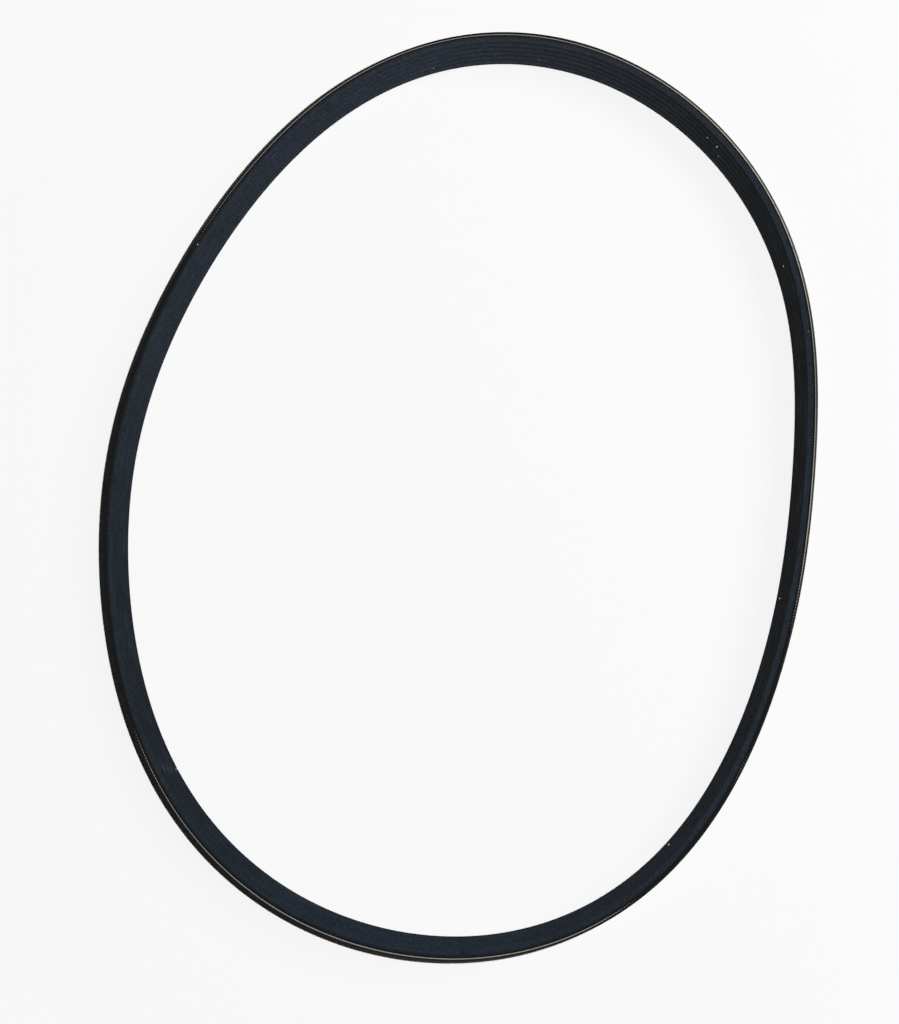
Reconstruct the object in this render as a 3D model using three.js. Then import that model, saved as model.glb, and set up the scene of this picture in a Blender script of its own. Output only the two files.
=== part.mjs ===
// A multi-rib drive belt, standing on one cut edge in the loose loop that it springs into off the engine.
//
// The belt is one moulding: ribs, cushion, cord and backing are vulcanised together and can't come apart.
// Its ribs face the inside of the loop and run all the way round, so it is a single section carried
// round a closed line. The line is the belt's cord line, because the cord keeps its length when the
// rubber bends. Millimetres, +Z up along the belt's width, +X to the right and +Y up in the plan.

import * as THREE from 'three';

// Length round the belt, measured along its cord
const cordLength = 1180;

// Section of the belt
const ribCount = 6;
const ribPitch = 3.56;
const ribAngle = 40;
const ribHeight = 2.3;
const rootRadius = 0.4;
const tipRadius = 0.5;
const bodyThickness = 2.0;
const backRadius = 0.3;
const cordDepth = 1.15;

// The loop's plan: a round loop with low waves on its radius. Each wave has so many crests a turn,
// is a share of the mean radius high, and has one crest at an angle from +X, in degrees.
// Two crests make the oval, three make one end fuller, and the rest are the set that a used belt
// keeps from its pulleys.
const loopWaves = [
  { crests: 2, share: 0.1484, crestAt: 79.4 },
  { crests: 3, share: 0.0159, crestAt: -59.4 },
  { crests: 4, share: 0.0066, crestAt: -5 },
  { crests: 5, share: 0.0037, crestAt: 17 },
  { crests: 6, share: 0.0026, crestAt: -17 },
  { crests: 7, share: 0.0016, crestAt: -18 },
];

// Fineness of the model
const loopPieces = 80;
const rootPieces = 4;
const tipPieces = 2;
const backPieces = 2;
const measurePieces = 2000;

const rubber = new THREE.MeshStandardMaterial({ color: 0x1f2128, roughness: 0.85, metalness: 0 });

// The closed line that the cord follows, at any mean radius.
class CordLine extends THREE.Curve {
  constructor(meanRadius) {
    super();
    this.meanRadius = meanRadius;
    this.arcLengthDivisions = measurePieces;
  }

  getPoint(turn, target = new THREE.Vector3()) {
    const angle = 2 * Math.PI * turn;
    let radius = this.meanRadius;
    for (const wave of loopWaves) {
      const crestAt = THREE.MathUtils.degToRad(wave.crestAt);
      radius += this.meanRadius * wave.share * Math.cos(wave.crests * (angle - crestAt));
    }
    return target.set(radius * Math.cos(angle), radius * Math.sin(angle), 0);
  }
}

// A cord line of the wanted length: the line of mean radius 1 is measured and then enlarged.
function cordLineOfLength(length) {
  return new CordLine(length / new CordLine(1).getLength());
}

// Points along an arc, both ends included. Angles are in radians.
function arc(centreX, centreY, radius, from, to, pieces) {
  const points = [];
  for (let i = 0; i <= pieces; i += 1) {
    const angle = THREE.MathUtils.lerp(from, to, i / pieces);
    points.push(new THREE.Vector2(
      centreX + radius * Math.cos(angle),
      centreY + radius * Math.sin(angle),
    ));
  }
  return points;
}

// The belt's section. x runs inwards from the back to the rib tips, y runs across the width from the
// lower cut edge. Each groove is a V with a round root, each rib has two rounded tip corners, and the
// belt is cut along the middle of a groove, so that half a groove is left beside each outer rib.
function beltSection() {
  const width = ribCount * ribPitch;
  const flank = THREE.MathUtils.degToRad(ribAngle / 2);
  const turned = Math.PI / 2 - flank;
  const thickness = bodyThickness + ribHeight;
  const rootCentre = bodyThickness + rootRadius;
  // The sharp V that the round root sits in starts this far behind the root's bottom.
  const grooveDepth = ribHeight + rootRadius / Math.sin(flank) - rootRadius;
  const grooveHalf = grooveDepth * Math.tan(flank);
  const tipCentre = thickness - tipRadius;
  const tipInset = grooveHalf + tipRadius * Math.tan(turned / 2);

  const points = [
    ...arc(backRadius, backRadius, backRadius, Math.PI, 1.5 * Math.PI, backPieces),
    new THREE.Vector2(bodyThickness, 0),
  ];
  for (let rib = 0; rib < ribCount; rib += 1) {
    const low = rib * ribPitch;
    const high = low + ribPitch;
    const halfRoot = rootPieces / 2;
    points.push(
      ...arc(rootCentre, low, rootRadius, Math.PI, Math.PI - turned, halfRoot).slice(1),
      ...arc(tipCentre, low + tipInset, tipRadius, -turned, 0, tipPieces),
      ...arc(tipCentre, high - tipInset, tipRadius, 0, turned, tipPieces),
      ...arc(rootCentre, high, rootRadius, Math.PI + turned, Math.PI, halfRoot),
    );
  }
  points.push(...arc(backRadius, width - backRadius, backRadius, 0.5 * Math.PI, Math.PI, backPieces));
  return points;
}

// Carries a closed section square to a closed flat line, as one skin with no seam and no end caps.
function sweepRound(section, line, steps) {
  const positions = [];
  const faces = [];
  const count = section.length;
  for (let step = 0; step < steps; step += 1) {
    const place = line.getPointAt(step / steps);
    const along = line.getTangentAt(step / steps);
    const inwards = new THREE.Vector3(-along.y, along.x, 0);
    for (const point of section) {
      const corner = place.clone().addScaledVector(inwards, point.x - cordDepth);
      positions.push(corner.x, corner.y, point.y);
    }
    const here = step * count;
    const next = ((step + 1) % steps) * count;
    for (let i = 0; i < count; i += 1) {
      const j = (i + 1) % count;
      faces.push(here + i, here + j, next + j, here + i, next + j, next + i);
    }
  }
  const skin = new THREE.BufferGeometry();
  skin.setAttribute('position', new THREE.Float32BufferAttribute(positions, 3));
  skin.setIndex(faces);
  skin.computeVertexNormals();
  return skin;
}

// Moves a shape so that the middle of its box stands over the origin, on the plane z = 0.
function standOnOrigin(geometry) {
  geometry.computeBoundingBox();
  const middle = geometry.boundingBox.getCenter(new THREE.Vector3());
  geometry.translate(-middle.x, -middle.y, -geometry.boundingBox.min.z);
  return geometry;
}

function makeBelt() {
  const loop = sweepRound(beltSection(), cordLineOfLength(cordLength), loopPieces);
  const belt = new THREE.Mesh(standOnOrigin(loop), rubber);
  belt.name = 'belt';
  return belt;
}

const part = new THREE.Group();
part.add(makeBelt());

export default part;
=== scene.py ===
"""A multi-rib drive belt in the loose loop that it springs into off the engine.

It stands on one cut edge with its ribs inside the loop. The rubber is one piece, which stands for the
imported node. On the upper cut edge one turn of the tensile cord comes to the surface and sinks again,
and a few bits of fluff cling to the ribs. Metres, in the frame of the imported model.
"""

import math

import bpy
import numpy as np
from bpy.props import FloatProperty, FloatVectorProperty, IntProperty, PointerProperty
from mathutils import Matrix, Vector


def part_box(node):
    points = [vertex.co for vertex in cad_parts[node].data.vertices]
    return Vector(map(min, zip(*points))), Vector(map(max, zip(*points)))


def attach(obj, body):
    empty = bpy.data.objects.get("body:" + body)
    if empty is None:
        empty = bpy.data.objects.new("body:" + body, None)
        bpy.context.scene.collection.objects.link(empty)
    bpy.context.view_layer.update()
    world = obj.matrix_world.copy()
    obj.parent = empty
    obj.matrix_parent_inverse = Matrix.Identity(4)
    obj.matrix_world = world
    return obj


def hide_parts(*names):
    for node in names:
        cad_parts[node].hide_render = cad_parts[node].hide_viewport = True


bl_info = {
    "name": "Serpentine belt",
    "version": (1, 0, 0),
    "blender": (4, 5, 0),
    "location": "View3D > Sidebar > Belt",
    "description": "Makes a ribbed rubber drive belt in its loose loop, with its edge cord and a stage",
    "category": "Add Mesh",
}

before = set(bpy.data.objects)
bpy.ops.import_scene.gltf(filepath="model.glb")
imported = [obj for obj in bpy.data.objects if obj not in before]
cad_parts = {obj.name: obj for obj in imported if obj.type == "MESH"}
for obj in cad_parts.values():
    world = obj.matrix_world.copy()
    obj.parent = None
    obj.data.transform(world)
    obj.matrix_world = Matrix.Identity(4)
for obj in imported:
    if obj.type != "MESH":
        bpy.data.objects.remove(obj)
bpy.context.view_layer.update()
NODE_LOW, NODE_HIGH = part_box("belt")

MM = 0.001

# Straight pieces in each run of the section, and points round a turn that measure the loop's line.
BACK_CORNER_PIECES, EDGE_PIECES, BACK_PIECES = 4, 6, 10
ROOT_PIECES, FLANK_PIECES, TIP_PIECES, LAND_PIECES = 3, 3, 3, 2
LINE_POINTS = 20001

# A value given round the loop is the mean over this many degrees, in so many readings.
SMOOTHING, SMOOTHING_READINGS = 6, 7

# Heights between which the flank beside the upper cut edge begins, and depths over which painted groove
# shade fades.
EDGE_FLANK = (20.0 * MM, 20.4 * MM)
GROOVE_SHADE_DEPTHS = (2.0 * MM, 3.4 * MM)

# Depths between which the cut face turns from clean to dusty with painted sheen, towards the back.
DUST_AND_SHEEN_DEPTHS = (0.85 * MM, 0.55 * MM)

# The nick in the lowest rib: its reach along and across the belt, its depth, and how far into the belt it
# starts and is in full. The mesh is finer round it, with so many stations over this reach either way.
NICK_ALONG, NICK_ACROSS, NICK_DEPTH = 0.4 * MM, 1.3 * MM, 0.3 * MM
NICK_START, NICK_FULL = 3.2 * MM, 4.0 * MM
NICK_STATIONS, NICK_REACH, NICK_GAP = 17, 2.4 * MM, 2.6 * MM

# Depths between which a scuff on a rib tip begins.
SCUFF_START, SCUFF_FULL = 3.0 * MM, 4.0 * MM

# Where the cord comes up and ends, in degrees, and the plies in it and the sides of its skin.
CORD_START, CORD_END = 208, 142
CORD_PLIES, CORD_SIDES = 3, 17
# The share of its thickness to which it thins out at either end.
CORD_END_THICKNESS = 0.02

# How far below and above the cut face a ply turns from soiled to bared.
BARED_BELOW, BARED_ABOVE = 0.02 * MM, 0.04 * MM

# Rings and sides of a bit of fluff, and the angle from each pole at which its first ring lies.
FLUFF_RINGS, FLUFF_SIDES, FLUFF_POLE = 7, 12, 0.12
# Its breadth over its length, half its thickness, its lift off the rubber, and its shade in hollows.
FLUFF_BREADTH, FLUFF_THICKNESS, FLUFF_LIFT, FLUFF_SHADE = 0.55, 0.2 * MM, 0.02 * MM, 0.45

# Least bloom on the flank at the edge, which there paints a highlight, the bloom's mottle, and how far its
# tint strays.
EDGE_BLOOM_AND_SHEEN, MOTTLE, TINT_PATCHES = 0.35, (0.4, 1.6), 0.15
# How strongly scuffs, fibres, dust with painted sheen and saw lines show, and how much smoother rubbed
# rubber is.
SCUFF_SHARE, FIBRE_SHARE, DUST_AND_SHEEN_SHARE, SAW_LINE_SHARE, RUBBED_SMOOTHER = 0.9, 0.35, 0.8, 0.1, 0.16

# Edges that turn by less than this are shaded smooth.
RUBBER_SMOOTH_ANGLE, CORD_SMOOTH_ANGLE = math.radians(40), math.radians(60)

# Camera: the sensor's width in millimetres, and the nearest that it sees, in metres.
SENSOR_WIDTH, NEAREST_SEEN = 36.0, 0.01
# Floor: half its side, how far it lies below the belt, the distances over which it fades out, and
# the share of its colour that it throws back on the belt.
FLOOR_REACH, FLOOR_DROP, FLOOR_FADE, FLOOR_BOUNCE = 3.0, 0.02 * MM, (0.24, 0.7), 0.35
# Lamps: the radius of the small one and the breadth of the wide one.
FLASH_RADIUS, SOFT_LAMP_SIZE = 0.004, 0.9

# Waves on the loop's radius: crests a turn, share of the mean radius, and angle of one crest in degrees.
# Two crests make the oval, three make one end fuller, and the rest are the set left by the pulleys.
LOOP_WAVES = (
    (2, 0.1484, 79.4),
    (3, 0.0159, -59.4),
    (4, 0.0066, -5),
    (5, 0.0037, 17),
    (6, 0.0026, -17),
    (7, 0.0016, -18),
)

# How far the cord's top stands above the upper cut face, by angle round the loop: degrees, millimetres.
# It comes up at the lower left, dips twice at the lower right and sinks for good at the upper left.
CORD_RISE = (
    (0, 0.05),
    (12, 0.035),
    (24, 0.045),
    (33, 0.07),
    (50, 0.08),
    (66, 0.065),
    (80, 0.05),
    (118, 0.045),
    (128, 0.03),
    (136, 0.015),
    (144, -0.01),
    (150, -0.08),
    (207, -0.08),
    (214, -0.03),
    (219, 0.02),
    (226, 0.035),
    (258, 0.06),
    (272, 0.065),
    (284, 0.05),
    (289, 0.03),
    (293, 0.0),
    (298, -0.06),
    (306, -0.05),
    (310, 0.012),
    (316, 0.012),
    (320, -0.05),
    (328, -0.04),
    (333, 0.0),
    (338, 0.02),
    (345, 0.04),
    (352, 0.06),
)

# How far the cord strays inwards along that face, by angle round the loop: degrees, millimetres.
CORD_DRIFT = (
    (40, 0.0),
    (60, 0.12),
    (75, 0.4),
    (90, 0.24),
    (105, 0.14),
    (130, 0.0),
    (200, 0.0),
    (225, -0.28),
    (250, -0.2),
    (265, 0.0),
    (285, 0.08),
    (300, 0.0),
)

# How pale the bared yarn is, by angle round the loop, partly its cleanness and partly painted glint,
# brightest at the right and upper right: degrees, share.
CORD_TONE_AND_GLINT = (
    (0, 0.4),
    (12, 0.15),
    (24, 0.18),
    (36, 0.65),
    (50, 0.6),
    (60, 0.45),
    (72, 0.1),
    (90, 0.0),
    (215, 0.05),
    (252, 0.15),
    (264, 0.07),
    (276, 0.13),
    (300, 0.05),
    (335, 0.1),
    (348, 0.45),
)

# How pale the cut face is between its cord and the back, partly dust and partly painted sheen, palest at
# the upper right: degrees, share.
EDGE_DUST_AND_SHEEN = (
    (0, 0.6),
    (15, 0.6),
    (24, 0.45),
    (36, 1.0),
    (50, 0.95),
    (60, 0.6),
    (72, 0.25),
    (82, 0.0),
    (98, 0.0),
    (108, 0.12),
    (118, 0.1),
    (135, 0.0),
    (220, 0.0),
    (250, 0.08),
    (320, 0.1),
    (345, 0.45),
)

# Fluff on the ribs: angle in degrees, height on the wall and length in millimetres, and paleness.
FLUFF = (
    (94.3, 5.9, 0.8, 0.3),
    (79.85, 6.25, 0.8, 0.15),
    (78.4, 2.5, 0.6, 0.3),
    (71.9, 13.3, 0.7, 0.1),
    (54.35, 13.25, 0.9, 0.5),
    (52.55, 13.4, 1.2, 0.8),
    (51.65, 9.4, 0.8, 0.2),
    (33.3, 12.4, 0.8, 1.0),
    (22.5, 20.9, 0.5, 0.7),
    (339.35, 5.9, 0.9, 1.0),
    (299.5, 5.8, 1.2, 1.0),
    (138.5, 21.2, 0.75, 1.0),
)

# Scuffs on the rib tips: angle in degrees, height, length and breadth in millimetres, and strength.
SCUFFS = (
    (225.0, 1.8, 1.2, 1.2, 1.0),
    (225.0, 5.3, 2.2, 0.55, 0.35),
    (224.8, 8.9, 2.6, 0.55, 0.7),
    (224.5, 12.5, 3.0, 0.55, 1.0),
    (224.2, 16.2, 3.0, 0.55, 0.9),
    (223.4, 19.7, 2.5, 0.55, 0.5),
)

# How pale the ribs are, by angle round the loop, partly bloom and partly painted light, darkest at the
# right: degrees, share.
RIB_BLOOM_AND_LIGHT = (
    (20, 0.05),
    (50, 0.1),
    (90, 0.4),
    (165, 0.35),
    (225, 0.2),
    (265, 0.45),
    (290, 0.25),
    (340, 0.1),
)

# How far the bloom leans from blue to violet, by angle round the loop: degrees, share.
BLOOM_TINT = (
    (0, 0.5),
    (75, 0.7),
    (165, 0.5),
    (215, 0.2),
    (270, 0.2),
    (310, 0.5),
)

BACKING, SAWN, RIBBED = range(3)


class BeltSizes(bpy.types.PropertyGroup):
    """Sizes of the belt's section and of its loop."""

    rib_count: IntProperty(name="Ribs", description="Ribs across the width", default=6, min=1)
    rib_pitch: FloatProperty(
        name="Rib pitch", description="From one rib to the next",
        default=3.56 * MM, unit="LENGTH", precision=5,
    )
    rib_angle: FloatProperty(
        name="Groove angle", description="Between a groove's flanks",
        default=math.radians(40), subtype="ANGLE",
    )
    rib_height: FloatProperty(
        name="Rib height", description="From a groove's bottom to the rib tips",
        default=2.3 * MM, unit="LENGTH",
    )
    body_thickness: FloatProperty(
        name="Body", description="From the back to a groove's bottom", default=2.0 * MM, unit="LENGTH"
    )
    root_radius: FloatProperty(
        name="Root radius", description="Round bottom of a groove", default=0.4 * MM, unit="LENGTH"
    )
    tip_radius: FloatProperty(
        name="Tip radius", description="Round corner of a rib tip", default=0.5 * MM, unit="LENGTH"
    )
    back_radius: FloatProperty(
        name="Back radius", description="Round corner between edge and back",
        default=0.3 * MM, unit="LENGTH",
    )
    cord_depth: FloatProperty(
        name="Cord depth", description="From the back to the middle of the cord",
        default=1.15 * MM, unit="LENGTH",
    )
    loop_across: FloatProperty(
        name="Loop across", description="The loop's size along X, as packed",
        default=NODE_HIGH.x - NODE_LOW.x, unit="LENGTH",
    )
    stations: IntProperty(name="Stations", description="Steps round the loop", default=600, min=100)


class RubberFinish(bpy.types.PropertyGroup):
    """Colours of the belt's rubber."""

    rib_colour: FloatVectorProperty(
        name="Ribs", description="Fibre-filled rubber of the ribs", subtype="COLOR",
        default=(0.009, 0.0085, 0.0075),
    )
    # The bloom colours also carry painted light and a painted highlight on the ribs.
    blue_colour: FloatVectorProperty(
        name="Blue bloom", description="The same rubber where it has bloomed pale", subtype="COLOR",
        default=(0.01, 0.03, 0.055),
    )
    violet_colour: FloatVectorProperty(
        name="Violet bloom", description="The bloom's other tint", subtype="COLOR",
        default=(0.05, 0.06, 0.085),
    )
    # Groove bottoms: painted shade.
    groove_shade_colour: FloatVectorProperty(
        name="Groove bottoms", description="Rubber that no pulley touches", subtype="COLOR",
        default=(0.0052, 0.0058, 0.0062),
    )
    sawn_colour: FloatVectorProperty(
        name="Sawn edge", description="Cushion rubber on the cut edge", subtype="COLOR",
        default=(0.0062, 0.0064, 0.006),
    )
    back_colour: FloatVectorProperty(
        name="Back", description="Rubber of the plain back", subtype="COLOR",
        default=(0.022, 0.0225, 0.0245),
    )
    rubbed_colour: FloatVectorProperty(
        name="Rubbed", description="Rubber that the pulleys have rubbed", subtype="COLOR",
        default=(0.026, 0.039, 0.05),
    )
    scuffed_colour: FloatVectorProperty(
        name="Scuffed", description="Scuffs on the rib tips", subtype="COLOR", default=(0.06, 0.095, 0.12)
    )
    fibre_colour: FloatVectorProperty(
        name="Fibres", description="Short fibres that show in the ribs", subtype="COLOR",
        default=(0.06, 0.065, 0.075),
    )
    # The dust colour also paints sheen on the cut edge.
    dust_and_sheen_colour: FloatVectorProperty(
        name="Dust", description="Dust of rubber and cord", subtype="COLOR", default=(0.13, 0.115, 0.095)
    )
    rib_roughness: FloatProperty(
        name="Roughness", description="Roughness of the ribs", default=0.78, min=0, max=1, subtype="FACTOR"
    )


class CordSizes(bpy.types.PropertyGroup):
    """Sizes and colours of the cord at the cut edge and of the fluff."""

    ply_radius: FloatProperty(
        name="Ply radius", description="Half the thickness of one ply",
        default=0.4 * MM, unit="LENGTH", precision=5,
    )
    twist_radius: FloatProperty(
        name="Twist radius", description="From the cord's middle to a ply's", default=0.08 * MM,
        unit="LENGTH", precision=5,
    )
    strand_depth: FloatProperty(
        name="Strand depth", description="From the back to the middle of the bared turn", default=1.08 * MM,
        unit="LENGTH", precision=5,
    )
    lay: FloatProperty(
        name="Lay", description="Length of one full twist", default=4.2 * MM, unit="LENGTH", precision=5
    )
    step: FloatProperty(
        name="Step", description="Length between stations of a ply",
        default=0.3 * MM, unit="LENGTH", precision=5,
    )
    cord_colour: FloatVectorProperty(
        name="Cord", description="Cut yarn of the cord", subtype="COLOR", default=(0.74, 0.73, 0.68)
    )
    soiled_colour: FloatVectorProperty(
        name="Soiled cord", description="Yarn with rubber dust in it", subtype="COLOR",
        default=(0.27, 0.262, 0.235),
    )
    dull_colour: FloatVectorProperty(
        name="Dull fluff", description="Fluff that has soaked up rubber dust", subtype="COLOR",
        default=(0.07, 0.072, 0.078),
    )
    fluff_colour: FloatVectorProperty(
        name="Fluff", description="Pale fluff on the ribs", subtype="COLOR", default=(0.8, 0.81, 0.83)
    )


class StageSettings(bpy.types.PropertyGroup):
    """Camera, floor and lamps."""

    camera_place: FloatVectorProperty(
        name="Camera", description="Where the camera stands", subtype="TRANSLATION",
        default=(0.01616, -0.06711, 0.45814),
    )
    camera_tilt: FloatProperty(
        name="Tilt", description="Turn away from straight down",
        default=math.radians(6.908), subtype="ANGLE",
    )
    tilt_axis: FloatProperty(
        name="Tilt axis", description="Direction of the level axis of that turn",
        default=math.radians(21.93), subtype="ANGLE",
    )
    lens: FloatProperty(name="Lens", description="Focal length in millimetres", default=34.304)
    flash_place: FloatVectorProperty(
        name="Flash", description="Small lamp beside the camera", subtype="TRANSLATION",
        default=(0.0585, -0.0474, 0.458),
    )
    flash_power: FloatProperty(name="Flash power", description="Strength of the small lamp", default=36.0)
    window_place: FloatVectorProperty(
        name="Soft lamp", description="Middle of the wide soft lamp", subtype="TRANSLATION",
        default=(0.85, 0.31, 1.05),
    )
    window_power: FloatProperty(
        name="Soft lamp power", description="Power of the wide soft lamp", default=1.6, unit="POWER"
    )
    surround_level: FloatProperty(
        name="Surround", description="Level of the light from all round", default=0.008
    )
    floor_colour: FloatVectorProperty(
        name="Floor", description="Colour of the pale floor", subtype="COLOR", default=(0.97, 0.97, 0.97)
    )


# Shapes

def arc(centre, radius, start, end, pieces):
    """Points of an arc: centre + radius * (cos a, sin a), with a in even steps from start to end."""
    angle = np.linspace(start, end, pieces + 1)[:, None]
    return np.asarray(centre) + radius * np.hstack((np.cos(angle), np.sin(angle)))


def straight(start, end, pieces):
    """Points of a straight run: start + (end - start) * t, with t in even steps from 0 to 1."""
    t = np.linspace(0, 1, pieces + 1)[:, None]
    return np.asarray(start) * (1 - t) + np.asarray(end) * t


def ramp(value, start, full):
    """0 up to start, 1 from full on, and straight in between."""
    return np.clip((value - start) / (full - start), 0, 1)


def belt_width(sizes):
    """The belt's width, which is that of its ribs."""
    return sizes.rib_count * sizes.rib_pitch


def belt_section(sizes):
    """The belt's closed section as points (depth from the back, height), and the finish of each side.

    Each groove is a V with a round root, each rib has two rounded tip corners, and the belt is cut
    along the middle of a groove. A root arc of radius r turns through 90 degrees less the flank angle f,
    and the V's sharp point would lie r / sin f - r behind the root's bottom.
    """
    width = belt_width(sizes)
    flank = sizes.rib_angle / 2
    turned = math.pi / 2 - flank
    root, tip, back = sizes.root_radius, sizes.tip_radius, sizes.back_radius
    body = sizes.body_thickness
    groove_depth = sizes.rib_height + root / math.sin(flank) - root
    groove_half = groove_depth * math.tan(flank)
    tip_centre = body + sizes.rib_height - tip
    tip_inset = groove_half + tip * math.tan(turned / 2)

    runs = [
        (arc((back, back), back, math.pi, 1.5 * math.pi, BACK_CORNER_PIECES), SAWN),
        (straight((back, 0), (body, 0), EDGE_PIECES), SAWN),
    ]
    for rib in range(sizes.rib_count):
        low, high = rib * sizes.rib_pitch, (rib + 1) * sizes.rib_pitch
        rise = arc((body + root, low), root, math.pi, math.pi - turned, ROOT_PIECES)
        near = arc((tip_centre, low + tip_inset), tip, -turned, 0, TIP_PIECES)
        far = arc((tip_centre, high - tip_inset), tip, 0, turned, TIP_PIECES)
        fall = arc((body + root, high), root, math.pi + turned, math.pi, ROOT_PIECES)
        for run in (
            rise, straight(rise[-1], near[0], FLANK_PIECES),
            near, straight(near[-1], far[0], LAND_PIECES),
            far, straight(far[-1], fall[0], FLANK_PIECES), fall,
        ):
            runs.append((run, RIBBED))
    runs += [
        (straight((body, width), (back, width), EDGE_PIECES), SAWN),
        (arc((back, width - back), back, 0.5 * math.pi, math.pi, BACK_CORNER_PIECES), SAWN),
        (straight((0, width - back), (0, back), BACK_PIECES), BACKING),
    ]
    points = np.vstack([run[:-1] for run, _ in runs])
    finish = np.concatenate([np.full(len(run) - 1, kind) for run, kind in runs])
    return points, finish


def loop_shape(angle):
    """Radius of the loop over its mean radius, and that radius's slope.

    The radius is 1 + the sum of share * cos(crests * (angle - crest)) over the waves.
    """
    radius, slope = np.ones_like(angle), np.zeros_like(angle)
    for crests, share, crest_at in LOOP_WAVES:
        phase = crests * (angle - math.radians(crest_at))
        radius += share * np.cos(phase)
        slope -= share * crests * np.sin(phase)
    return radius, slope


class CordLine:
    """The closed flat line that the cord follows, which is the middle line of the whole belt.

    A point is mean radius * loop shape(angle) * (cos angle, sin angle) + pole. The mean radius makes the
    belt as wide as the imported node, and the pole puts the middle of its box over the origin.
    """

    def __init__(self, sizes):
        angle = np.linspace(0, 2 * math.pi, LINE_POINTS)
        radius, _ = loop_shape(angle)
        shape = radius[:, None] * np.column_stack((np.cos(angle), np.sin(angle)))
        low, high = shape.min(axis=0), shape.max(axis=0)
        self.mean_radius = (sizes.loop_across - 2 * sizes.cord_depth) / (high[0] - low[0])
        self.pole = -self.mean_radius * (low + high) / 2
        steps = np.linalg.norm(np.diff(shape, axis=0), axis=1) * self.mean_radius
        self.angles = angle
        self.lengths = np.concatenate(([0], np.cumsum(steps)))
        self.length = self.lengths[-1]

    def angle_at(self, distance):
        """Angle at a distance along the line, read off the summed lengths."""
        turns, rest = np.divmod(distance, self.length)
        return np.interp(rest, self.lengths, self.angles) + 2 * math.pi * turns

    def distance_at(self, angle):
        """Distance along the line at an angle, read off the summed lengths."""
        turns, rest = np.divmod(angle, 2 * math.pi)
        return np.interp(rest, self.angles, self.lengths) + self.length * turns

    def place(self, distance):
        """Point, direction along and direction inwards at each distance, from the shape and its slope."""
        angle = self.angle_at(distance)
        radius, slope = loop_shape(angle)
        out = np.column_stack((np.cos(angle), np.sin(angle)))
        round_ = np.column_stack((-np.sin(angle), np.cos(angle)))
        along = slope[:, None] * out + radius[:, None] * round_
        along /= np.linalg.norm(along, axis=1, keepdims=True)
        inwards = np.column_stack((-along[:, 1], along[:, 0]))
        return self.pole + self.mean_radius * radius[:, None] * out, along, inwards


def cord_outline(angle, plies, twist_radius, ply_radius):
    """Reach of a twisted cord at an angle, which is that of the outermost of its round plies.

    A ply whose middle is a from the cord's and turned by b reaches a cos b + sqrt(r^2 - a^2 sin^2 b).
    """
    turns = angle[None] - 2 * math.pi * np.arange(plies)[:, None, None] / plies
    reach = twist_radius * np.cos(turns) + np.sqrt(ply_radius**2 - (twist_radius * np.sin(turns)) ** 2)
    return reach.max(axis=0)


def grid_faces(rows, columns, closed_rows=True):
    """Quads (r, c), (r, c + 1), (r + 1, c + 1), (r + 1, c) of a grid that closes round its columns."""
    steps = rows if closed_rows else rows - 1
    r, c = np.meshgrid(np.arange(steps), np.arange(columns), indexing="ij")
    next_r, next_c = (r + 1) % rows, (c + 1) % columns
    here, there = r * columns, next_r * columns
    corners = (here + c, here + next_c, there + next_c, there + c)
    return np.stack(corners, axis=-1).reshape(-1, 4)


def new_piece(name, points, faces, materials, smooth_angle=None):
    """A mesh object at the origin from points and faces, shaded smooth up to an angle."""
    mesh = bpy.data.meshes.new(name)
    mesh.from_pydata(points.tolist(), [], [list(face) for face in faces])
    for material in materials:
        mesh.materials.append(material)
    mesh.polygons.foreach_set("use_smooth", np.ones(len(mesh.polygons), bool))
    if smooth_angle is not None:
        mesh.set_sharp_from_angle(angle=smooth_angle)
    piece = bpy.data.objects.new(name, mesh)
    bpy.context.scene.collection.objects.link(piece)
    return piece


def add_attribute(piece, name, kind, values):
    """Stores one value for each point of a piece's mesh."""
    attribute = piece.data.attributes.new(name, kind, "POINT")
    field = "vector" if kind == "FLOAT_VECTOR" else "value"
    attribute.data.foreach_set(field, np.ascontiguousarray(values, np.float32).ravel())


def round_the_loop(stops, angle):
    """Value at each angle, read straight between (degrees, value) stops and averaged over a few degrees."""
    degrees, values = np.array(stops).T
    spread = np.radians(np.linspace(-SMOOTHING / 2, SMOOTHING / 2, SMOOTHING_READINGS))
    readings = np.asarray(angle)[:, None] + spread
    return np.interp(readings, np.radians(degrees), values, period=2 * math.pi).mean(axis=1)


def rib_depth_at(section, finish, height):
    """Depth and slope of the ribbed face at each height, read off the section."""
    ribs = section[finish == RIBBED]
    reach = 0.02 * MM
    below, depth, above = (np.interp(height + step, ribs[:, 1], ribs[:, 0]) for step in (-reach, 0, reach))
    return depth, (above - below) / (2 * reach)


# Materials

def add_node(tree, kind, inputs=None, **settings):
    """Adds a node, makes its settings, and fills its inputs from values or from other nodes' outputs."""
    node = tree.nodes.new("ShaderNode" + kind)
    for name, value in settings.items():
        setattr(node, name, value)
    for name, value in (inputs or {}).items():
        if isinstance(value, bpy.types.NodeSocket):
            tree.links.new(value, node.inputs[name])
        else:
            node.inputs[name].default_value = value
    return node


def calculate(tree, operation, first, second, clamp=False):
    """The output of a Math node."""
    inputs = {0: first, 1: second}
    return add_node(tree, "Math", inputs, operation=operation, use_clamp=clamp).outputs[0]


def product(tree, first, *others):
    """The product of values and other nodes' outputs."""
    for other in others:
        first = calculate(tree, "MULTIPLY", first, other)
    return first


def noise(tree, place, scale, detail=2.0, roughness=0.5):
    """The output of a Noise node, from 0 to 1."""
    inputs = {"Vector": place, "Scale": scale, "Detail": detail, "Roughness": roughness}
    return add_node(tree, "TexNoise", inputs).outputs["Fac"]


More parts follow.
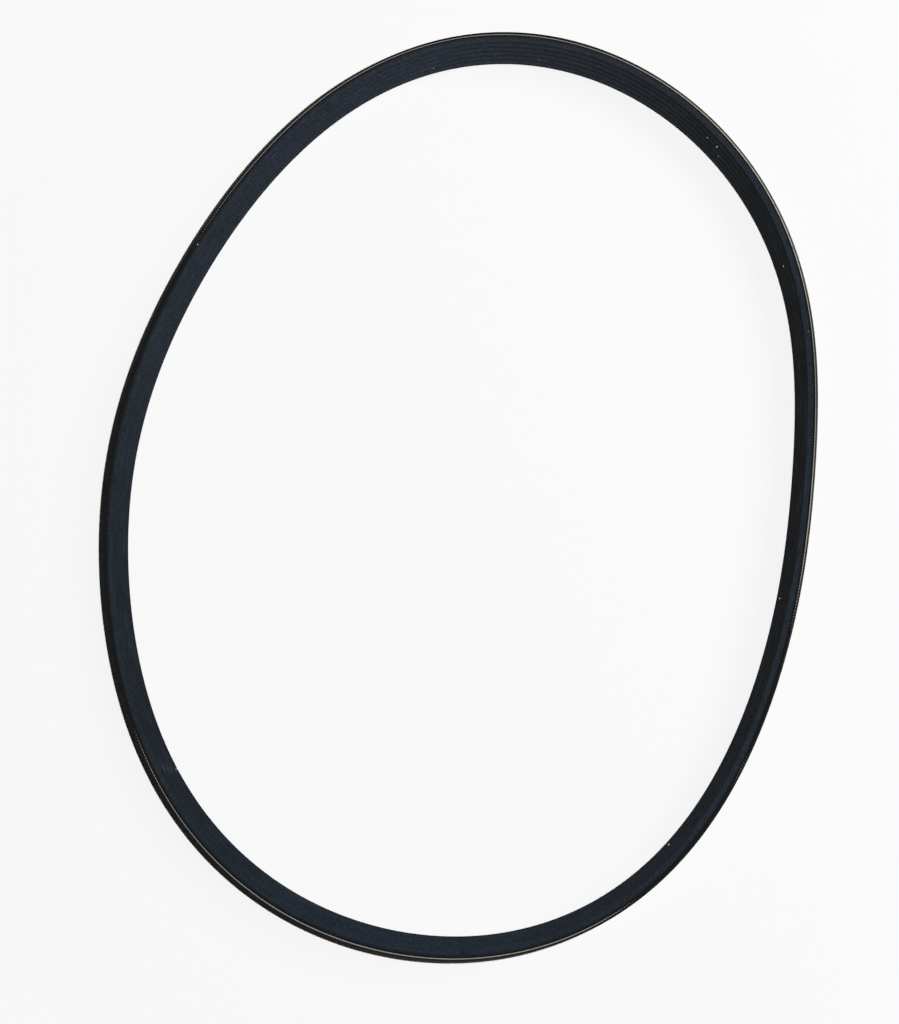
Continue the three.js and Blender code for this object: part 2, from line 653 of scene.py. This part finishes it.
def remap(tree, value, from_low, from_high, to_low=0.0, to_high=1.0):
    """The output of a smooth Map Range node, which stays between its two results."""
    inputs = {
        "Value": value, "From Min": from_low, "From Max": from_high, "To Min": to_low, "To Max": to_high,
    }
    return add_node(tree, "MapRange", inputs, interpolation_type="SMOOTHSTEP").outputs["Result"]


def mix_colour(tree, share, first, second):
    """The output of a colour Mix node, between colours or other nodes' outputs."""
    inputs = {0: share}
    for index, colour in ((6, first), (7, second)):
        inputs[index] = colour if isinstance(colour, bpy.types.NodeSocket) else (*colour, 1)
    return add_node(tree, "Mix", inputs, data_type="RGBA").outputs[2]


def new_group(name, inputs, outputs):
    """An empty shader group with named sockets, and its input and output nodes."""
    group = bpy.data.node_groups.new(name, "ShaderNodeTree")
    for direction, sockets in (("INPUT", inputs), ("OUTPUT", outputs)):
        for socket_name, kind in sockets.items():
            group.interface.new_socket(socket_name, in_out=direction, socket_type="NodeSocket" + kind)
    return group, group.nodes.new("NodeGroupInput").outputs, group.nodes.new("NodeGroupOutput").inputs


def stretched(tree, place, along, across):
    """A place scaled for a pattern that is so many times finer along the loop and across it."""
    return add_node(tree, "Mapping", {"Vector": place, "Scale": (along, along, across)}).outputs["Vector"]


def grain_group():
    """Group: fine grain of ground rubber and short fibres that lie across the belt."""
    name = "Ground Rubber"
    if name in bpy.data.node_groups:
        return bpy.data.node_groups[name]
    outputs = {"Height": "Float", "Fibres": "Float", "Mottle": "Float"}
    group, given, result = new_group(name, {"Place": "Vector", "Coarseness": "Float"}, outputs)
    place = given["Place"]
    pores = noise(group, place, scale=5200.0, detail=3.0, roughness=0.65)
    lumps = noise(group, place, scale=900.0)
    fibres = noise(group, stretched(group, place, 1.0, 0.22), scale=6500.0, detail=1.0)
    blotches = noise(group, place, scale=1500.0, roughness=0.6)
    shown = remap(group, fibres, 0.6, 0.72)
    height = calculate(group, "ADD", pores, product(group, lumps, given["Coarseness"]))
    height = calculate(group, "ADD", height, product(group, shown, 0.5))
    group.links.new(height, result["Height"])
    group.links.new(shown, result["Fibres"])
    group.links.new(remap(group, blotches, 0.3, 0.7), result["Mottle"])
    return group


def streak_group():
    """Group: patches that run along the belt, where the pulleys have rubbed the rubber."""
    name = "Rubbed Streaks"
    if name in bpy.data.node_groups:
        return bpy.data.node_groups[name]
    inputs = {"Place": "Vector", "Least": "Float", "Most": "Float"}
    group, given, result = new_group(name, inputs, {"Mask": "Float"})
    long_place = stretched(group, given["Place"], 0.045, 1.0)
    streaks = noise(group, long_place, scale=1500.0, detail=3.0, roughness=0.6)
    patches = noise(group, given["Place"], scale=42.0)
    both = product(group, remap(group, streaks, 0.4, 0.68), remap(group, patches, 0.3, 0.7))
    spread = calculate(group, "SUBTRACT", given["Most"], given["Least"])
    mask = calculate(group, "ADD", given["Least"], product(group, both, spread), clamp=True)
    group.links.new(mask, result["Mask"])
    return group


def use_group(tree, group, inputs):
    """Places a group in a material with its own values."""
    return add_node(tree, "Group", inputs, node_tree=group).outputs


def new_material(name):
    """A material with a bare Principled shader, and its node tree."""
    material = bpy.data.materials.new(name)
    material.use_nodes = True
    tree = material.node_tree
    return material, tree, tree.nodes["Principled BSDF"]


def read_attribute(tree, name, output="Fac"):
    """An attribute that the piece's mesh carries."""
    return add_node(tree, "Attribute", attribute_name=name, attribute_type="GEOMETRY").outputs[output]


def object_place(tree):
    """The place on the piece, in metres."""
    return add_node(tree, "TexCoord").outputs["Object"]


def set_finish(tree, shader, colour, roughness, specular):
    """Sets a shader's colour and roughness, each a value or an output, and its specular level."""
    tree.links.new(colour, shader.inputs["Base Color"])
    if isinstance(roughness, bpy.types.NodeSocket):
        tree.links.new(roughness, shader.inputs["Roughness"])
    else:
        shader.inputs["Roughness"].default_value = roughness
    shader.inputs["Specular IOR Level"].default_value = specular


def set_bump(tree, shader, height, distance):
    """Joins a height to the shader's normal."""
    bump = add_node(tree, "Bump", {"Height": height, "Distance": distance, "Strength": 1.0})
    tree.links.new(bump.outputs["Normal"], shader.inputs["Normal"])


def rib_material(finish):
    """Fibre-filled rubber: blue-black and matt, with bloom that also paints light, painted shade in the
    grooves, rubbed streaks, pale fibres and scuffs.
    """
    material, tree, shader = new_material("rib_rubber")
    place = read_attribute(tree, "belt_place", "Vector")
    grain = use_group(tree, grain_group(), {"Place": place, "Coarseness": 1.2})
    streaks = use_group(tree, streak_group(), {"Place": place, "Least": 0.0, "Most": 0.45})["Mask"]
    scuffs = read_attribute(tree, "scuff")
    height = add_node(tree, "SeparateXYZ", {0: object_place(tree)}).outputs["Z"]
    edge_flank = remap(tree, height, *EDGE_FLANK)

    # The bloom, which also paints light on the ribs, is as heavy as the place round the loop says, and
    # never thin on the flank at the edge, where it paints a highlight.
    bloom_and_light = read_attribute(tree, "bloom")
    bloom = calculate(tree, "MAXIMUM", bloom_and_light, product(tree, edge_flank, EDGE_BLOOM_AND_SHEEN))
    mottle = remap(tree, grain["Mottle"], 0.0, 1.0, *MOTTLE)
    bloom = calculate(tree, "MULTIPLY", bloom, mottle, clamp=True)
    patches = remap(tree, noise(tree, place, scale=150.0), 0.3, 0.7, -TINT_PATCHES, TINT_PATCHES)
    tint = calculate(tree, "ADD", read_attribute(tree, "tint"), patches, clamp=True)
    bloomed = mix_colour(tree, tint, finish.blue_colour, finish.violet_colour)
    colour = mix_colour(tree, bloom, finish.rib_colour, bloomed)
    colour = mix_colour(tree, streaks, colour, finish.rubbed_colour)

    # The groove bottoms get painted shade: little where the bloom is heaviest, but for the half groove at
    # the edge, and none where it is thinnest, where the ribs are as dark as the grooves.
    groove_shade_kept = calculate(tree, "MAXIMUM", edge_flank, remap(tree, bloom_and_light, 0.28, 0.38, 1.0, 0.18))
    groove_shade_share = product(tree, groove_shade_kept, remap(tree, bloom_and_light, 0.17, 0.32, 0.0, 0.55))
    groove_shade_mask = remap(tree, read_attribute(tree, "depth"), *GROOVE_SHADE_DEPTHS, 1.0, 0.0)
    colour = mix_colour(tree, product(tree, groove_shade_mask, groove_shade_share), colour, finish.groove_shade_colour)
    colour = mix_colour(tree, product(tree, scuffs, SCUFF_SHARE), colour, finish.scuffed_colour)
    colour = mix_colour(tree, product(tree, grain["Fibres"], FIBRE_SHARE), colour, finish.fibre_colour)

    rubbed = calculate(tree, "MAXIMUM", streaks, scuffs)
    rough = remap(tree, rubbed, 0.0, 1.0, finish.rib_roughness, finish.rib_roughness - RUBBED_SMOOTHER)
    set_finish(tree, shader, colour, rough, 0.04)
    set_bump(tree, shader, grain["Height"], 0.04 * MM)
    return material


def sawn_material(finish):
    """Cushion rubber on the cut edge: fine saw lines along the loop, and dust with painted sheen beside the
    bared cord.
    """
    material, tree, shader = new_material("sawn_edge")
    place = read_attribute(tree, "belt_place", "Vector")
    grain = use_group(tree, grain_group(), {"Place": place, "Coarseness": 0.8})
    lines = noise(tree, stretched(tree, place, 0.03, 1.0), scale=9000.0)
    patches = remap(tree, noise(tree, place, scale=160.0, detail=4.0), 0.2, 0.5)
    behind = remap(tree, read_attribute(tree, "depth"), *DUST_AND_SHEEN_DEPTHS)
    # Dust and painted sheen on the cut face, by place round the loop.
    dust = product(tree, read_attribute(tree, "edge_dust_and_sheen"), behind, patches, DUST_AND_SHEEN_SHARE)
    colour = mix_colour(tree, dust, finish.sawn_colour, finish.dust_and_sheen_colour)
    shiny_lines = product(tree, remap(tree, lines, 0.5, 0.75), SAW_LINE_SHARE)
    colour = mix_colour(tree, shiny_lines, colour, finish.rubbed_colour)
    set_finish(tree, shader, colour, remap(tree, lines, 0.3, 0.7, 0.7, 0.88), 0.06)
    height = calculate(tree, "ADD", grain["Height"], product(tree, lines, 1.5))
    set_bump(tree, shader, height, 0.04 * MM)
    return material


def back_material(finish):
    """Plain rubber back: a fine cloth imprint from the curing sleeve, a little polished by idlers."""
    material, tree, shader = new_material("plain_back")
    place = read_attribute(tree, "belt_place", "Vector")
    grain = use_group(tree, grain_group(), {"Place": place, "Coarseness": 0.6})
    streaks = use_group(tree, streak_group(), {"Place": place, "Least": 0.05, "Most": 0.7})["Mask"]
    ticks = noise(tree, stretched(tree, place, 0.5, 1.0), scale=2400.0, detail=0.5)
    colour = mix_colour(tree, streaks, finish.back_colour, finish.rubbed_colour)
    set_finish(tree, shader, colour, remap(tree, streaks, 0.0, 0.7, 0.76, 0.52), 0.25)
    set_bump(tree, shader, calculate(tree, "ADD", grain["Height"], ticks), 0.08 * MM)
    return material


def cord_material(cord):
    """Twisted yarn: cream where the knife bared it, with painted glint in places, soiled by rubber dust
    between the plies.
    """
    material, tree, shader = new_material("twisted_yarn")
    patches = noise(tree, object_place(tree), scale=420.0, detail=4.0)
    bared = product(tree, read_attribute(tree, "bared"), remap(tree, patches, 0.25, 0.6))
    colour = mix_colour(tree, bared, cord.soiled_colour, cord.cord_colour)
    set_finish(tree, shader, colour, 0.85, 0.2)
    yarn = {"Vector": read_attribute(tree, "yarn_place", "Vector"), "Scale": (0.15, 1.0, 1.0)}
    hairs = noise(tree, add_node(tree, "Mapping", yarn).outputs["Vector"], scale=20000.0, detail=1.0)
    set_bump(tree, shader, hairs, 0.03 * MM)
    return material


def fluff_material(cord):
    """Matted pale fluff with grey in it."""
    material, tree, shader = new_material("matted_fluff")
    strands = noise(tree, object_place(tree), scale=6000.0, detail=3.0)
    dark = tuple(FLUFF_SHADE * value for value in cord.fluff_colour)
    colour = mix_colour(tree, strands, dark, cord.fluff_colour)
    colour = mix_colour(tree, read_attribute(tree, "pale"), cord.dull_colour, colour)
    set_finish(tree, shader, colour, 0.95, 0.1)
    set_bump(tree, shader, strands, 0.06 * MM)
    return material


def seen_directly(tree):
    """1 for camera, glossy and transmission rays, else 0."""
    path = add_node(tree, "LightPath").outputs
    glossy = calculate(tree, "MAXIMUM", path["Is Glossy Ray"], path["Is Transmission Ray"])
    return calculate(tree, "MAXIMUM", path["Is Camera Ray"], glossy)


# Pieces

class BELT_OT_rubber(bpy.types.Operator):
    """Makes the belt's rubber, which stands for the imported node"""

    bl_idname = "belt.make_rubber"
    bl_label = "Make the rubber"

    def execute(self, context):
        sizes, finish = context.scene.belt_sizes, context.scene.belt_finish
        line = CordLine(sizes)
        section, side_finish = belt_section(sizes)
        count = len(section)

        nick = line.distance_at(math.radians(SCUFFS[0][0]))
        even = np.arange(sizes.stations) * line.length / sizes.stations
        fine = nick + np.linspace(-NICK_REACH, NICK_REACH, NICK_STATIONS)
        distance = np.unique(np.concatenate((even[np.abs(even - nick) > NICK_GAP], fine)))
        place, _, inwards = line.place(distance)
        angle = line.angle_at(distance)

        scuff = np.zeros((len(distance), count))
        for at, height, length, breadth, strength in SCUFFS:
            away = (distance - line.distance_at(math.radians(at)))[:, None] / (length * MM)
            aside = (section[:, 1] - height * MM)[None, :] / (breadth * MM)
            scuff = np.maximum(scuff, strength * np.exp(-2 * away**2 - 2 * aside**4))
        scuff *= ramp(section[:, 0], SCUFF_START, SCUFF_FULL)[None, :]

        # The nick takes a bite out of the lowest rib's tip, in the middle of the first scuff.
        away = (distance - nick)[:, None] / NICK_ALONG
        aside = (section[:, 1] - SCUFFS[0][1] * MM)[None, :] / NICK_ACROSS
        bite = NICK_DEPTH * np.exp(-away**2 - aside**4) * ramp(section[:, 0], NICK_START, NICK_FULL)
        offset = section[:, 0][None, :] - bite - sizes.cord_depth
        flat = place[:, None, :] + inwards[:, None, :] * offset[:, :, None]
        height = np.broadcast_to(section[:, 1], (len(distance), count))
        points = np.concatenate((flat, height[:, :, None]), axis=2).reshape(-1, 3)

        faces = grid_faces(len(distance), count)
        materials = (back_material(finish), sawn_material(finish), rib_material(finish))
        piece = new_piece("belt_rubber", points, faces, materials, RUBBER_SMOOTH_ANGLE)
        face_finish = np.tile(side_finish, len(distance)).astype(np.int32)
        piece.data.polygons.foreach_set("material_index", face_finish)

        # The belt's own place, for patterns: the loop rolled out round and its section rolled out flat.
        side_lengths = np.linalg.norm(section - np.roll(section, -1, 0), axis=1)
        perimeter = np.concatenate(([0], np.cumsum(side_lengths)))
        turn = 2 * math.pi * distance / line.length
        round_radius = line.length / (2 * math.pi)
        belt_place = np.empty((len(distance), count, 3))
        belt_place[:, :, 0] = (round_radius * np.cos(turn))[:, None]
        belt_place[:, :, 1] = (round_radius * np.sin(turn))[:, None]
        belt_place[:, :, 2] = perimeter[:-1]
        add_attribute(piece, "belt_place", "FLOAT_VECTOR", belt_place)
        add_attribute(piece, "depth", "FLOAT", np.tile(section[:, 0], len(distance)))
        for name, stops in (("bloom", RIB_BLOOM_AND_LIGHT), ("tint", BLOOM_TINT), ("edge_dust_and_sheen", EDGE_DUST_AND_SHEEN)):
            add_attribute(piece, name, "FLOAT", np.repeat(round_the_loop(stops, angle), count))
        add_attribute(piece, "scuff", "FLOAT", scuff)

        ends = np.append(distance, distance[0] + line.length)
        across = np.stack((perimeter[:-1], perimeter[1:], perimeter[1:], perimeter[:-1]), axis=1)
        along = np.stack((ends[:-1], ends[:-1], ends[1:], ends[1:]), axis=1)
        flat_map = np.empty((len(distance), count, 4, 2))
        flat_map[..., 0] = along[:, None, :]
        flat_map[..., 1] = across[None, :, :]
        piece.data.uv_layers.new(name="UVMap").data.foreach_set("uv", flat_map.astype(np.float32).ravel())
        piece.data.update()

        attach(piece, "root")
        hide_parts("belt")
        return {"FINISHED"}


class BELT_OT_cord(bpy.types.Operator):
    """Makes the turn of cord that shows along the upper cut edge"""

    bl_idname = "belt.make_cord"
    bl_label = "Make the edge cord"

    def execute(self, context):
        sizes, cord = context.scene.belt_sizes, context.scene.belt_cord
        line = CordLine(sizes)
        start = line.distance_at(math.radians(CORD_START))
        end = line.distance_at(math.radians(CORD_END + 360))
        stations = int((end - start) / cord.step)
        distance = np.linspace(start, end, stations)
        place, _, inwards = line.place(distance)
        angle = line.angle_at(distance)
        width = belt_width(sizes)
        rise = round_the_loop(CORD_RISE, angle) * MM
        middle = width + rise - cord.twist_radius - cord.ply_radius

        # Ring points lie closest together at the top, where the cord shows: pi * t * (0.4 + 0.6 * t * t).
        sides = CORD_SIDES
        t = 2 * np.arange(sides) / sides - 1 + 1 / sides
        side = math.pi / 2 + math.pi * t * (0.4 + 0.6 * t**2)
        twist = 2 * math.pi * distance / cord.lay
        turned = side[None, :] - twist[:, None]
        reach = cord_outline(turned, CORD_PLIES, cord.twist_radius, cord.ply_radius)
        to_end = np.minimum(distance - start, end - distance)
        reach *= np.clip(to_end / cord.lay, CORD_END_THICKNESS, 1)[:, None]
        aside = cord.strand_depth - sizes.cord_depth + round_the_loop(CORD_DRIFT, angle) * MM
        flat = place[:, None, :] + inwards[:, None, :] * (reach * np.cos(side) + aside[:, None])[:, :, None]
        height = middle[:, None] + reach * np.sin(side)
        points = np.concatenate((flat, height[:, :, None]), axis=2).reshape(-1, 3)
        faces = grid_faces(stations, sides, closed_rows=False)[:, ::-1].tolist()
        faces.append(list(range(sides)))
        faces.append(list(range(stations * sides - 1, (stations - 1) * sides - 1, -1)))
        piece = new_piece("edge_cord", points, faces, (cord_material(cord),), CORD_SMOOTH_ANGLE)

        # The bared yarn's tone is partly painted glint.
        tone_and_glint = round_the_loop(CORD_TONE_AND_GLINT, angle)
        bared = ramp(height, width - BARED_BELOW, width + BARED_ABOVE)
        add_attribute(piece, "bared", "FLOAT", bared * tone_and_glint[:, None])
        # The yarn's own place turns with the plies, so that its hairs follow the twist.
        run = np.broadcast_to(distance[:, None], reach.shape)
        yarn = np.stack((run, reach * np.cos(turned), reach * np.sin(turned)), axis=-1)
        add_attribute(piece, "yarn_place", "FLOAT_VECTOR", yarn)
        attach(piece, "root")
        return {"FINISHED"}


class BELT_OT_fluff(bpy.types.Operator):
    """Makes the bits of fluff that cling to the ribs"""

    bl_idname = "belt.make_fluff"
    bl_label = "Make the fluff"

    def execute(self, context):
        sizes, cord = context.scene.belt_sizes, context.scene.belt_cord
        line = CordLine(sizes)
        section, side_finish = belt_section(sizes)
        rings, sides = FLUFF_RINGS, FLUFF_SIDES
        # A bit is a flat ball: (length * sin p * cos q, breadth * sin p * sin q, thickness * cos p), with
        # its rim drawn in and out by low waves of q.
        polar = np.linspace(FLUFF_POLE, math.pi - FLUFF_POLE, rings)[:, None]
        round_ = 2 * math.pi * np.arange(sides)[None, :] / sides
        all_points, all_faces, all_pale = [], [], []
        for index, (at, height, length, pale) in enumerate(FLUFF):
            where = line.distance_at(np.array([math.radians(at)]))
            place, along, inwards = (part[0] for part in line.place(where))
            depth, slope = rib_depth_at(section, side_finish, height * MM)
            outward = Vector((*inwards, -slope)).normalized()
            forward = Vector((*along, 0))
            sideways = outward.cross(forward)
            turn = Matrix.Rotation(0.9 * index, 3, outward)
            forward, sideways = turn @ forward, turn @ sideways
            ragged = 1 + 0.22 * np.cos(2 * round_ + index) + 0.16 * np.cos(3 * round_ - 2.1 * index)
            reach = np.sin(polar) * ragged * length * MM / 2
            thickness = FLUFF_THICKNESS * np.cos(polar) * np.ones_like(round_)
            across = FLUFF_BREADTH * reach * np.sin(round_)
            local = np.stack((reach * np.cos(round_), across, thickness), axis=-1)
            axes = np.array((forward, sideways, outward))
            middle = np.array((*(place + inwards * (depth - sizes.cord_depth)), height * MM))
            middle += np.array(outward) * FLUFF_LIFT
            first = sum(len(points) for points in all_points)
            all_points.append((local.reshape(-1, 3) @ axes) + middle)
            all_faces += (grid_faces(rings, sides, closed_rows=False)[:, ::-1] + first).tolist()
            all_faces.append(list(range(first, first + sides)))
            last = first + rings * sides - 1
            all_faces.append(list(range(last, last - sides, -1)))
            all_pale.append(np.full(rings * sides, pale))
        piece = new_piece("rib_fluff", np.vstack(all_points), all_faces, (fluff_material(cord),))
        add_attribute(piece, "pale", "FLOAT", np.concatenate(all_pale))
        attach(piece, "root")
        return {"FINISHED"}


class BELT_OT_stage(bpy.types.Operator):
    """Makes the camera, the pale floor and the lamps"""

    bl_idname = "belt.make_stage"
    bl_label = "Make the stage"

    def execute(self, context):
        scene, stage = context.scene, context.scene.belt_stage
        scene.view_settings.view_transform = "Standard"

        camera = bpy.data.objects.new("camera", bpy.data.cameras.new("camera"))
        camera.data.lens = stage.lens
        camera.data.sensor_width = SENSOR_WIDTH
        camera.data.clip_start = NEAREST_SEEN
        axis = Vector((math.cos(stage.tilt_axis), math.sin(stage.tilt_axis), 0))
        tilt = Matrix.Rotation(stage.camera_tilt, 4, axis)
        camera.matrix_world = Matrix.Translation(stage.camera_place) @ tilt
        scene.collection.objects.link(camera)
        scene.camera = camera

        material, tree, shader = new_material("pale_floor")
        seen = seen_directly(tree)
        bounced = tuple(FLOOR_BOUNCE * value for value in stage.floor_colour)
        set_finish(tree, shader, mix_colour(tree, seen, bounced, stage.floor_colour), 1.0, 0.0)
        away = add_node(tree, "VectorMath", {0: object_place(tree)}, operation="LENGTH").outputs["Value"]
        tree.links.new(remap(tree, away, *FLOOR_FADE, 1.0, 0.0), shader.inputs["Alpha"])
        corners = np.array(((-1, -1, 0), (1, -1, 0), (1, 1, 0), (-1, 1, 0))) * FLOOR_REACH
        floor = new_piece("floor", corners - (0, 0, FLOOR_DROP), [[0, 1, 2, 3]], (material,))

        flash = bpy.data.lights.new("flash", "POINT")
        flash.energy = 1.0
        flash.shadow_soft_size = FLASH_RADIUS
        flash.use_nodes = True
        lamp = flash.node_tree
        # Strength grows with distance, which lights the whole floor evenly.
        away = add_node(lamp, "LightPath").outputs["Ray Length"]
        strength = calculate(lamp, "MULTIPLY", away, stage.flash_power / stage.flash_place[2])
        falloff = add_node(lamp, "LightFalloff", {"Strength": strength})
        lamp.links.new(falloff.outputs["Constant"], lamp.nodes["Emission"].inputs["Strength"])
        flash_object = bpy.data.objects.new("flash", flash)
        flash_object.location = stage.flash_place
        scene.collection.objects.link(flash_object)

        soft = bpy.data.lights.new("soft_lamp", "AREA")
        soft.shape = "DISK"
        soft.size = SOFT_LAMP_SIZE
        soft.energy = stage.window_power
        soft_object = bpy.data.objects.new("soft_lamp", soft)
        soft_object.location = stage.window_place
        soft_object.rotation_euler = (-Vector(stage.window_place)).to_track_quat("-Z", "Y").to_euler()
        scene.collection.objects.link(soft_object)

        world = bpy.data.worlds.new("surround")
        world.use_nodes = True
        scene.world = world
        sky = world.node_tree
        level = calculate(sky, "MAXIMUM", seen_directly(sky), stage.surround_level)
        background = sky.nodes["Background"]
        background.inputs["Color"].default_value = (1, 1, 1, 1)
        sky.links.new(level, background.inputs["Strength"])
        return {"FINISHED"}


class BELT_PT_sidebar(bpy.types.Panel):
    """Lists the belt's sizes, colours and makers"""

    bl_label = "Serpentine belt"
    bl_space_type = "VIEW_3D"
    bl_region_type = "UI"
    bl_category = "Belt"

    def draw(self, context):
        for operator in OPERATORS:
            self.layout.operator(operator.bl_idname)
        for name in SETTINGS:
            box = self.layout.box()
            group = getattr(context.scene, name)
            for key in group.__annotations__:
                box.prop(group, key)


SETTINGS = {
    "belt_sizes": BeltSizes,
    "belt_finish": RubberFinish,
    "belt_cord": CordSizes,
    "belt_stage": StageSettings,
}
OPERATORS = (BELT_OT_stage, BELT_OT_rubber, BELT_OT_cord, BELT_OT_fluff)


def register():
    """Registers the classes and hangs the settings on the scene."""
    for item in (*SETTINGS.values(), *OPERATORS, BELT_PT_sidebar):
        bpy.utils.register_class(item)
    for name, group in SETTINGS.items():
        setattr(bpy.types.Scene, name, PointerProperty(type=group))


def unregister():
    """Takes the settings and the classes away again."""
    for name in SETTINGS:
        delattr(bpy.types.Scene, name)
    for item in (BELT_PT_sidebar, *OPERATORS[::-1], *list(SETTINGS.values())[::-1]):
        bpy.utils.unregister_class(item)


def main():
    """Makes every piece in order."""
    register()
    bpy.ops.belt.make_stage()
    bpy.ops.belt.make_rubber()
    bpy.ops.belt.make_cord()
    bpy.ops.belt.make_fluff()


if __name__ == "__main__":
    main()
